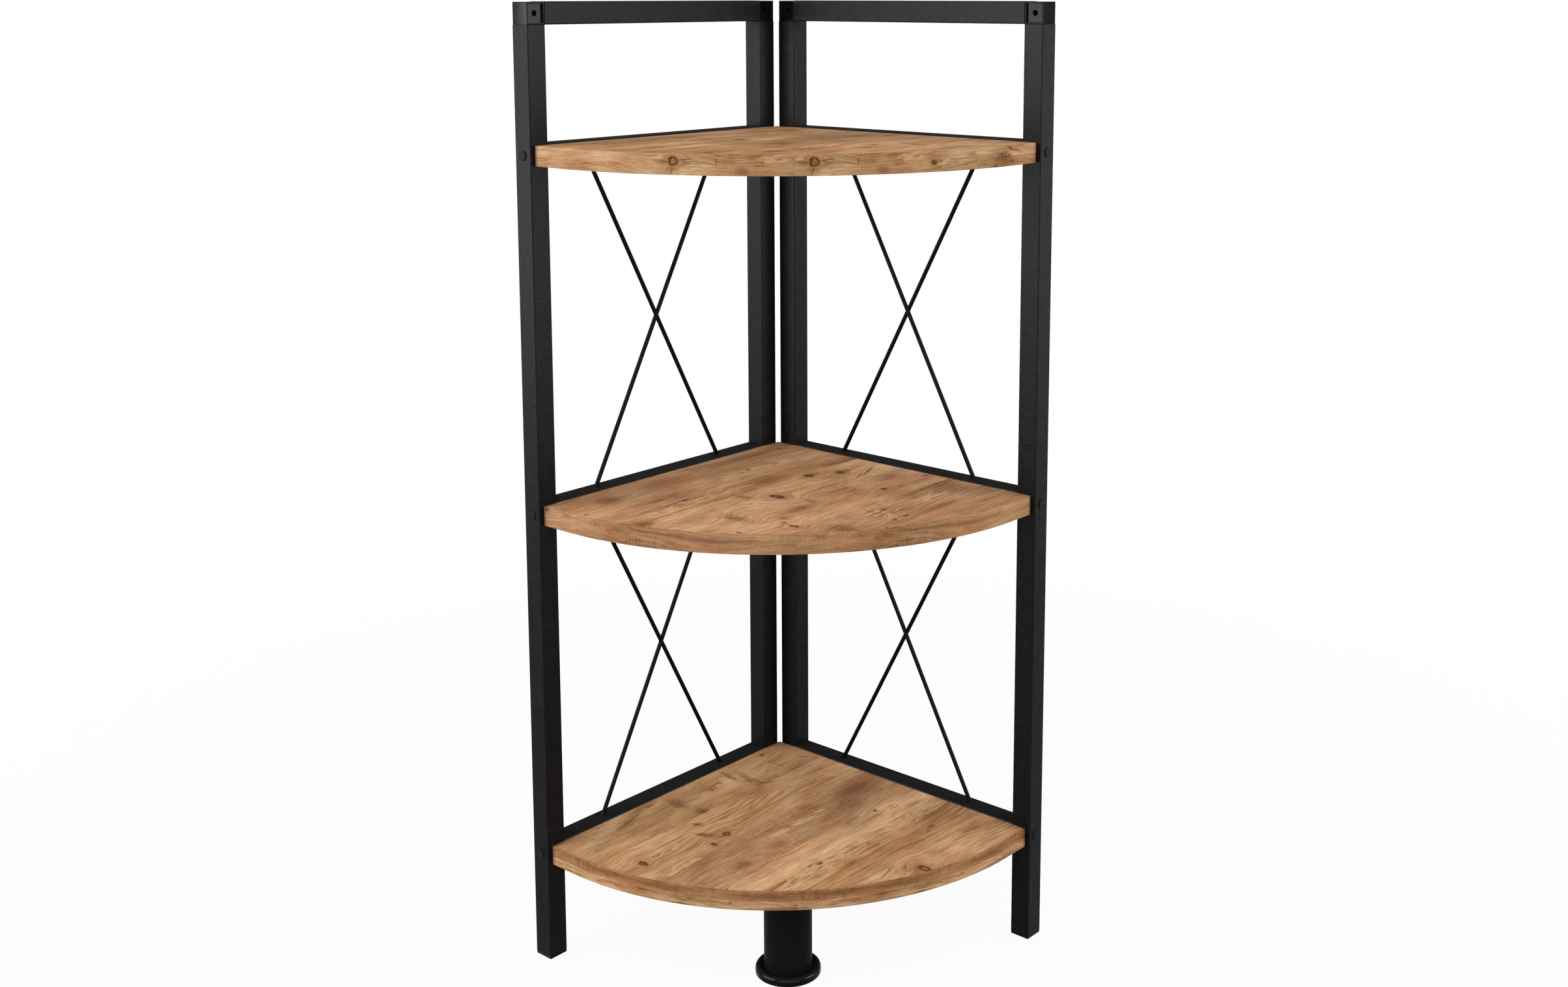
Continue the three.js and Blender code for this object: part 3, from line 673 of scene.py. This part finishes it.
# The edging's own decor: across is the height above its lower edge
EDGE_REPEAT = {"lower": 219, "middle": 240, "upper": 118}
# light is a gain of red, green and blue, partly the edging's own tone and partly painted light: higher on
# the lower two edgings, in the shade of the boards above, lower on the upper one, which gets more light
EDGE_DECOR = {
    "lower": dict(
        staves=[(-2, "ad8760", 0.2, 0.8, 0.0), (8.5, "946c49", 0.7, 0.4, 1.0)],
        # Painted light: a higher gain for this edging, in the shade of the boards above
        light=(1.02, 1.06, 1.07), torn_edge=0.16,
        knots=[(6.2, 190.5, 0.5, 1.3)],
        swells=[(12, 84, 3, 16), (12, 255, 3, 16)],
        pale=[(3, 160, 3.4, 60), (3, 60, 3.2, 50), (3, 225, 3.2, 40)],
        dark=[(15, 74, 3.0, 24), (14, 130, 3.2, 36), (14, 60, 3.6, 44), (13, 220, 3.4, 40),
              (1.5, 250, 2.4, 22)],
        cracks=[(1.2, 150, 0.4, 12)]),
    "middle": dict(
        # Painted light: a higher gain for this edging, in the shade of the board above
        light=(1.02, 1.07, 1.08),
        weave=0.85,
        staves=[(-2, "9d7653", 0.4, 0.4, 1.0), (12.5, "a07a57", 0.1, 0.5, 0.7)],
        knots=[(16.2, 3.5, 1.4, 2.0)],
        swells=[(12, 66, 4, 7), (12, 80, 4, 7), (12, 94, 4, 7), (8, 150, 6, 26)],
        dark=[(12, 165, 4.0, 60), (16, 28, 1.6, 10), (16, 4, 2.0, 5)],
        marks=[(3.2, 239, 0.7, 1.3)],
        cracks=[(1, 60, 0.4, 12)]),
    "upper": dict(
        # Painted light: a lower gain for this edging, which gets the most light
        gap=1.7, light=(0.96, 0.99, 0.99), torn_edge=0.16,
        staves=[(-2, "ad8963", 0.3, 0.6, 0.0), (9, "ae8b66", 0.6, 0.6, 0.0)],
        knots=[(8.5, 253.5, 2.1, 2.8)],
        ringed=[(11.5, 147.5, 4.5, 4.8)],
        swells=[(4, 148, 4, 8), (12, 226, 5, 16), (10, 334, 2.4, 4), (3.6, 346, 1.6, 2)],
        pale=[(14, 230, 4.0, 30), (13, 301, 3.4, 24), (8, 262, 5.0, 12)],
        dark=[(10.5, 137, 2.4, 8), (5, 147, 2.6, 6), (9.5, 156, 2.4, 7), (3, 206, 3.0, 9),
              (9, 330, 5.0, 13), (9, 340, 3.0, 8, -30), (8.5, 258, 2.0, 6), (8, 333, 6.0, 12)],
        marks=[(11.5, 332, 2.6, 8, 12), (8, 338, 2.4, 7, 30), (4, 344, 2.6, 6), (1.2, 322, 1.6, 4),
               (15.2, 343, 1.2, 9, -20), (13.2, 351, 1.0, 8, -24)],
        cracks=[(12, 184, 3.2, 0.6), (9.5, 281, 0.4, 10, 8), (13.4, 158, 0.6, 8, 9),
                (11.6, 160, 0.5, 7, -4), (10.6, 140, 0.5, 4, 6), (3, 146, 0.6, 5, 60),
                (1.0, 323, 0.9, 1.6), (11, 331, 1.1, 2.6, 20), (8.8, 335.5, 1.3, 2.2, -30),
                (4.2, 345.5, 1.2, 1.8), (15.2, 341, 0.6, 3, -20)]),
}

# Coats as (darker tone, lighter tone, size of grain, roughness, height of relief, specular level)
COATS = {
    "powder_coat": ("131212", "181717", 1.7, 0.34, 0.16, 0.031),
    "black_steel": ("080808", "0d0d0d", 1.2, 0.4, 0.03, 0.02),
    "bolt_coat": ("191818", "1f1e1e", 1.4, 0.5, 0.05, 0.0215),
    "black_plastic": ("0e0e0e", "131313", 0.9, 0.08, 0.001, 0.035),
    "leg_coat": ("121212", "151515", 1.4, 0.42, 0.02, 0.012),
    "leg_plastic": ("050505", "080808", 0.8, 0.24, 0.002, 0.05),
}
MATERIALS = {name: painted(name, *values) for name, values in COATS.items()}
MATERIALS["zinc_steel"] = zinc_plated("zinc_steel")
for number, level in enumerate(LEVELS):
    MATERIALS[f"board_{level}"] = wood(
        f"pine_board_{level}", board_across, board_along, seed=11.0 * number, **BOARD_DECOR[level])
    MATERIALS[f"edging_{level}"] = wood(
        f"pine_edging_{level}", edge_across(SHELF_BOTTOMS[level]), edge_along(EDGE_REPEAT[level]),
        seed=5.0 + 7.0 * number, **EDGE_DECOR[level])


# Geometry

def placed(name, data):
    """A new object of the scene from a mesh, lamp or camera."""
    made = bpy.data.objects.new(name, data)
    bpy.context.scene.collection.objects.link(made)
    return made


def mesh_of(name, shape):
    """A mesh from a bmesh, which ends here."""
    mesh = bpy.data.meshes.new(name)
    shape.to_mesh(mesh)
    shape.free()
    return mesh


def piece(name, shape, material, replaced, smooth_to=SMOOTH_TO_DEGREES):
    """Turns a shape built in millimetres into a piece that rides on the unit and replaces solids."""
    bmesh.ops.remove_doubles(shape, verts=shape.verts, dist=MERGE_WITHIN)
    bmesh.ops.recalc_face_normals(shape, faces=shape.faces)
    bmesh.ops.scale(shape, vec=(MM, MM, MM), verts=shape.verts)
    mesh = mesh_of(name, shape)
    mesh.shade_smooth()
    mesh.set_sharp_from_angle(angle=math.radians(smooth_to))
    mesh.materials.append(MATERIALS[material])
    made = placed(name, mesh)
    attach(made, "root")
    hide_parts(*replaced)


def quarter(steps):
    """Angles from nothing to a quarter turn."""
    return [math.pi / 2 * index / steps for index in range(steps + 1)]


def revolved(profile, centre):
    """A solid of revolution about an upright axis, from (radius, height) points that start and end on it."""
    shape = bmesh.new()
    turns = [2 * math.pi * index / ROUND_SIDES for index in range(ROUND_SIDES)]
    rings = []
    for radius, height in profile:
        if radius == 0:
            points = [(0, 0, height)]
        else:
            points = [(radius * math.cos(turn), radius * math.sin(turn), height) for turn in turns]
        rings.append([shape.verts.new(point) for point in points])
    for low, high in zip(rings, rings[1:]):
        for index in range(ROUND_SIDES):
            after = (index + 1) % ROUND_SIDES
            if len(low) == 1:
                shape.faces.new((low[0], high[after], high[index]))
            elif len(high) == 1:
                shape.faces.new((low[index], low[after], high[0]))
            else:
                shape.faces.new((low[index], low[after], high[after], high[index]))
    bmesh.ops.translate(shape, vec=(centre.x, centre.y, 0), verts=shape.verts)
    return shape


def front_path(inset):
    """Points of the shelf's front at that distance inside it, from the right end to the left end."""
    end = SHELF_SIDE - inset
    radius = ARC_RADIUS - inset
    arc = [(SHELF_STRAIGHT + radius * math.cos(turn), SHELF_STRAIGHT + radius * math.sin(turn))
           for turn in quarter(FRONT_STEPS)]
    path = [(end, 0.0), (end, SHELF_STRAIGHT / 2)] + arc + [(SHELF_STRAIGHT / 2, end), (0.0, end)]
    return [(x - SHELF_CORNER, SHELF_CORNER - y) for x, y in path]


def board(level):
    """A quarter-round board, whose upper and lower rims are slightly rounded."""
    bottom = SHELF_BOTTOMS[level]
    outline = front_path(EDGING_THICKNESS + EDGING_GLUE_LINE) + [(-SHELF_CORNER, SHELF_CORNER)]
    shape = bmesh.new()
    face = shape.faces.new([shape.verts.new((x, y, bottom)) for x, y in outline])
    lifted = bmesh.ops.extrude_face_region(shape, geom=[face])["geom"]
    upper = [item for item in lifted if isinstance(item, bmesh.types.BMVert)]
    bmesh.ops.translate(shape, vec=(0, 0, BOARD_THICKNESS), verts=upper)
    rims = [edge for edge in shape.edges if abs(edge.verts[0].co.z - edge.verts[1].co.z) < NEARLY]
    bmesh.ops.bevel(shape, geom=rims, offset=BOARD_RIM, segments=BOARD_RIM_STEPS, profile=ROUND_PROFILE,
                    affect="EDGES")
    piece(f"pine_board_{level}", shape, f"board_{level}", [f"shelf_board_{level}"])


def edging(level):
    """The strip round the front: a section with rounded outer corners carried along the front."""
    bottom = SHELF_BOTTOMS[level]
    top = bottom + BOARD_THICKNESS
    radius = EDGING_ROUNDING
    turns = quarter(EDGING_STEPS)
    upper = [(radius - radius * math.cos(turn), top - radius + radius * math.sin(turn)) for turn in turns]
    lower = [(radius - radius * math.cos(turn), bottom + radius - radius * math.sin(turn)) for turn in turns]
    section = [(EDGING_THICKNESS, bottom), *reversed(lower), *upper, (EDGING_THICKNESS, top)]
    shape = bmesh.new()
    rows = [[shape.verts.new((x, y, height)) for x, y in front_path(inset)] for inset, height in section]
    for row, following in zip(rows, rows[1:] + rows[:1]):
        for index in range(len(row) - 1):
            shape.faces.new((row[index], row[index + 1], following[index + 1], following[index]))
    for end in (0, -1):
        shape.faces.new([row[end] for row in rows])
    piece(f"pine_edging_{level}", shape, f"edging_{level}", [f"shelf_edging_{level}"])


def union(first, second):
    """One closed shape from two that cross."""
    target = placed("helper", mesh_of("helper", first))
    tool = placed("helper", mesh_of("helper", second))
    modifier = target.modifiers.new("combine", "BOOLEAN")
    modifier.operation = "UNION"
    modifier.solver = "EXACT"
    modifier.object = tool
    bpy.context.view_layer.update()
    depsgraph = bpy.context.evaluated_depsgraph_get()
    shape = bmesh.new()
    shape.from_mesh(target.evaluated_get(depsgraph).to_mesh())
    for made in (target, tool):
        mesh = made.data
        bpy.data.objects.remove(made)
        bpy.data.meshes.remove(mesh)
    return shape


def rod(start, end):
    """A round rod between two points, cut level at both ends."""
    start, end = Vector(start), Vector(end)
    direction = (end - start).normalized()
    overrun = BRACE_DIAMETER * 2
    shape = bmesh.new()
    bmesh.ops.create_cone(shape, cap_ends=True, segments=ROD_SIDES, radius1=BRACE_DIAMETER / 2,
                          radius2=BRACE_DIAMETER / 2, depth=(end - start).length + 2 * overrun)
    lean = direction.to_track_quat("Z", "Y").to_matrix().to_4x4()
    bmesh.ops.transform(shape, matrix=Matrix.Translation((start + end) / 2) @ lean, verts=shape.verts)
    for height, outward in ((start.z, -1), (end.z, 1)):
        everything = shape.verts[:] + shape.edges[:] + shape.faces[:]
        cut = bmesh.ops.bisect_plane(shape, geom=everything, plane_co=(0, 0, height),
                                     plane_no=(0, 0, outward), clear_outer=True)
        loop = [item for item in cut["geom_cut"] if isinstance(item, bmesh.types.BMEdge)]
        bmesh.ops.contextual_create(shape, geom=loop)
    return shape


def brace(side, level, low, high):
    """Two rods that cross in the plane through the middle of the frame's tubes."""
    plane = SPAN_HALF - TUBE_SIDE / 2
    rods = []
    for lean in (BRACE_HALF_SPREAD, -BRACE_HALF_SPREAD):
        if side == "left":
            rods.append(rod((-plane, -BRACE_MIDDLE - lean, low), (-plane, -BRACE_MIDDLE + lean, high)))
        else:
            rods.append(rod((BRACE_MIDDLE - lean, plane, low), (BRACE_MIDDLE + lean, plane, high)))
    piece(f"{side}_braces_{level}", union(*rods), "black_steel",
          [f"{side}_cross_brace_{level}"], smooth_to=ROD_SMOOTH_TO_DEGREES)


def leg():
    """The front leg's column and its foot."""
    low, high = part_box("front_leg_column")
    centre = (low + high) / 2 / MM
    radius = LEG_DIAMETER / 2
    bore = radius - LEG_WALL
    top = SHELF_BOTTOMS["lower"]
    bottom = FOOT_HEIGHT + LEG_GAP
    column = revolved(
        [(0, top - LEG_END_WALL), (bore, top - LEG_END_WALL), (bore, bottom),
         (radius - LEG_LOWER_CHAMFER, bottom), (radius, bottom + LEG_LOWER_CHAMFER),
         (radius, top - LEG_UPPER_CHAMFER), (radius - LEG_UPPER_CHAMFER, top), (0, top)], centre)
    piece("front_leg_tube", column, "leg_coat", ["front_leg_column"])

    # The rim's rounded top falls in a soft curve to the foot of the column
    rim = FOOT_DIAMETER / 2
    crest = rim - FOOT_ROUNDING
    seat = radius + FOOT_SEAT_GAP
    collar = bore - COLLAR_GAP
    rounding = [(crest + FOOT_ROUNDING * math.cos(turn),
                 FOOT_RIM_HEIGHT - FOOT_ROUNDING + FOOT_ROUNDING * math.sin(turn))
                for turn in quarter(FOOT_STEPS)]
    drop = FOOT_RIM_HEIGHT - FOOT_HEIGHT
    fall = []
    for index in range(1, FALL_STEPS + 1):
        curve = 0.5 + 0.5 * math.cos(math.pi * index / FALL_STEPS)
        fall.append((crest + (seat - crest) * index / FALL_STEPS, FOOT_HEIGHT + drop * curve))
    ring = rim - FOOT_RING
    collar_top = FOOT_HEIGHT + COLLAR_HEIGHT
    collar_inside = collar - COLLAR_WALL
    collar_floor = FOOT_HEIGHT - COLLAR_DEPTH
    foot = revolved(
        [(0, FOOT_RECESS), (ring, FOOT_RECESS), (ring, 0), (rim - FOOT_CHAMFER, 0), (rim, FOOT_CHAMFER),
         *rounding, *fall, (collar, FOOT_HEIGHT), (collar, collar_top), (collar_inside, collar_top),
         (collar_inside, collar_floor), (0, collar_floor)], centre)
    piece("front_leg_flange", foot, "leg_plastic", ["front_leg_foot"])


def rounded_node(name, width, steps=BEVEL_STEPS):
    """Gives a solid of the model fine rounded edges."""
    node = nodes[name]
    node.data.shade_smooth()
    weld = node.modifiers.new("weld", "WELD")
    weld.merge_threshold = WELD_WITHIN * MM
    flat = node.modifiers.new("flat", "DECIMATE")
    flat.decimate_type = "DISSOLVE"
    flat.angle_limit = math.radians(FLAT_TO_DEGREES)
    bevel = node.modifiers.new("bevel", "BEVEL")
    bevel.width = width * MM
    bevel.segments = steps
    bevel.limit_method = "ANGLE"
    bevel.angle_limit = math.radians(BEVEL_FROM_DEGREES)
    # The larger a face, the more it sets the shading at its corners, so flats look flat
    even = node.modifiers.new("even", "WEIGHTED_NORMAL")
    even.mode = "FACE_AREA"
    even.weight = LARGE_FACES_LEAD
    return node


def give(node, material):
    """Gives a solid of the model a material."""
    node.data.materials.clear()
    node.data.materials.append(MATERIALS[material])


for level in LEVELS:
    board(level)
    edging(level)
for side in SIDES:
    for level, (low, high) in BAYS.items():
        brace(side, level, low, high)
leg()

for side in SIDES:
    for end in ENDS:
        give(rounded_node(f"{side}_{end}_post", TUBE_EDGE), "powder_coat")
        give(rounded_node(f"{side}_{end}_foot_cap", CAP_EDGE), "black_plastic")
        give(rounded_node(f"{side}_{end}_corner_connector", CONNECTOR_EDGE), "black_plastic")
        for level in LEVELS:
            bolt = rounded_node(f"{side}_{end}_rail_bolt_{level}", BOLT_EDGE, BOLT_BEVEL_STEPS)
            give(bolt, "bolt_coat")
            give(rounded_node(f"{side}_{end}_shelf_screw_{level}", SCREW_EDGE), "zinc_steel")
    give(rounded_node(f"{side}_top_rail", TUBE_EDGE), "powder_coat")
    for level in LEVELS:
        give(rounded_node(f"{side}_shelf_rail_{level}", TUBE_EDGE), "powder_coat")
for name in ("front_leg_bolt", "front_leg_nut"):
    give(nodes[name], "zinc_steel")


# Floor, light and camera

FLOOR_RADIUS = 4000
FLOOR_SIDES = 96
FLOOR_TONE = 0.6
FLOOR_ROUGHNESS = 0.9
# The floor shows this much of the white background near the unit, and all of it further away
GLOW_NEAR = 0.95
GLOW_RISES_FROM = 500
GLOW_RISES_TO = 1500
# The world's strength as light on the unit, and as the background that is seen
WORLD_LIGHT = 0.6
WORLD_SHOWN = 1.0
WHITE = (1.0, 1.0, 1.0)


def shows_background(tree):
    """1 for a ray that shows the background: from the camera, or mirrored or let through by a surface."""
    path = tree.nodes.new("ShaderNodeLightPath")
    value = path.outputs["Is Camera Ray"]
    for name in ("Is Glossy Ray", "Is Transmission Ray"):
        node = tree.nodes.new("ShaderNodeMath")
        node.operation = "MAXIMUM"
        tree.links.new(value, node.inputs[0])
        tree.links.new(path.outputs[name], node.inputs[1])
        value = node.outputs[0]
    return value


disc = bmesh.new()
bmesh.ops.create_circle(disc, cap_ends=True, segments=FLOOR_SIDES, radius=FLOOR_RADIUS * MM)
floor = placed("floor", mesh_of("floor", disc))
paving = Shader("pale_floor")
paving.finish(opaque((FLOOR_TONE,) * 3), FLOOR_ROUGHNESS, specular=0.0)
glow = paving.tree.nodes.new("ShaderNodeEmission")
glow.inputs["Color"].default_value = opaque(WHITE)
distance = paving.vector("LENGTH", paving.scaled(paving.place, (1, 1, 0)))
away = paving.step(distance, GLOW_RISES_FROM, GLOW_RISES_TO)
share = paving.times(shows_background(paving.tree), paving.times_plus(away, 1 - GLOW_NEAR, GLOW_NEAR))
blend = paving.tree.nodes.new("ShaderNodeMixShader")
paving.put(blend.inputs[0], share)
paving.put(blend.inputs[1], paving.surface.outputs["BSDF"])
paving.put(blend.inputs[2], glow.outputs[0])
paving.put(paving.output.inputs["Surface"], blend.outputs[0])
floor.data.materials.append(paving.material)

world = bpy.data.worlds.new("studio")
bpy.context.scene.world = world
world.use_nodes = True
tree = world.node_tree
tree.nodes.clear()
sky = tree.nodes.new("ShaderNodeBackground")
out = tree.nodes.new("ShaderNodeOutputWorld")
tree.links.new(sky.outputs[0], out.inputs["Surface"])
sky.inputs["Color"].default_value = opaque(WHITE)
# Inputs 2 and 3 of this node are the two numbers that it mixes
strength = tree.nodes.new("ShaderNodeMix")
strength.data_type = "FLOAT"
strength.inputs[2].default_value = WORLD_LIGHT
strength.inputs[3].default_value = WORLD_SHOWN
tree.links.new(shows_background(tree), strength.inputs[0])
tree.links.new(strength.outputs[0], sky.inputs["Strength"])


def softbox(name, place, target, size, power, card=False):
    """A soft lamp that doesn't show in the picture itself. A card shows only in glossy surfaces."""
    light = bpy.data.lights.new(name, "AREA")
    light.shape = "RECTANGLE"
    light.size, light.size_y = size
    light.energy = power
    made = placed(name, light)
    made.location = place
    made.rotation_mode = "QUATERNION"
    made.rotation_quaternion = (Vector(target) - Vector(place)).to_track_quat("-Z", "Y")
    made.visible_camera = False
    made.visible_diffuse = not card


# Each with its place, the point it faces and its size in metres, and its power in watts
softbox("left_softbox", (-1.16, -1.81, 1.2), (0.0, 0.0, 1.1), (1.3, 1.9), 44)
softbox("right_softbox", (1.82, 1.03, 1.2), (0.0, 0.0, 1.1), (1.2, 1.9), 28)
softbox("front_softbox", (1.2, -1.7, 2.5), (0.0, 0.0, 0.5), (1.2, 1.2), 18)
softbox("left_card", (-1.03, -1.915, 1.1), (0.0, 0.0, 1.0), (1.7, 1.95), 140, card=True)
softbox("right_card", (1.75, 1.15, 1.1), (0.0, 0.0, 1.0), (1.2, 1.95), 80, card=True)
softbox("front_card", (1.65, -1.55, 1.1), (0.0, 0.0, 1.0), (3.0, 1.95), 105, card=True)

# Camera of the photograph, found from the frame's own edges
PHOTO_WIDTH, PHOTO_HEIGHT = 2408, 1515
FOCAL_PIXELS = 2787.467
CENTRE_X, CENTRE_Y = 1288.033, 411.368
CAMERA_PLACE = (1067.476, -1185.864, 883.351)
CAMERA_YAW, CAMERA_PITCH = math.radians(40.382), math.radians(8.603)
SENSOR_WIDTH = 36.0
CLIP_START, CLIP_END = 50, 50000
camera_data = bpy.data.cameras.new("camera")
camera_data.sensor_width = SENSOR_WIDTH
camera_data.sensor_fit = "HORIZONTAL"
camera_data.lens = FOCAL_PIXELS / PHOTO_WIDTH * SENSOR_WIDTH
camera_data.shift_x = (PHOTO_WIDTH / 2 - CENTRE_X) / PHOTO_WIDTH
camera_data.shift_y = (CENTRE_Y - PHOTO_HEIGHT / 2) / PHOTO_WIDTH
camera_data.clip_start = CLIP_START * MM
camera_data.clip_end = CLIP_END * MM
camera = placed("camera", camera_data)
camera.location = Vector(CAMERA_PLACE) * MM
forward = Vector((-math.sin(CAMERA_YAW) * math.cos(CAMERA_PITCH),
                  math.cos(CAMERA_YAW) * math.cos(CAMERA_PITCH), -math.sin(CAMERA_PITCH)))
camera.rotation_mode = "QUATERNION"
camera.rotation_quaternion = forward.to_track_quat("-Z", "Y")
bpy.context.scene.camera = camera
bpy.context.scene.view_settings.view_transform = "Standard"
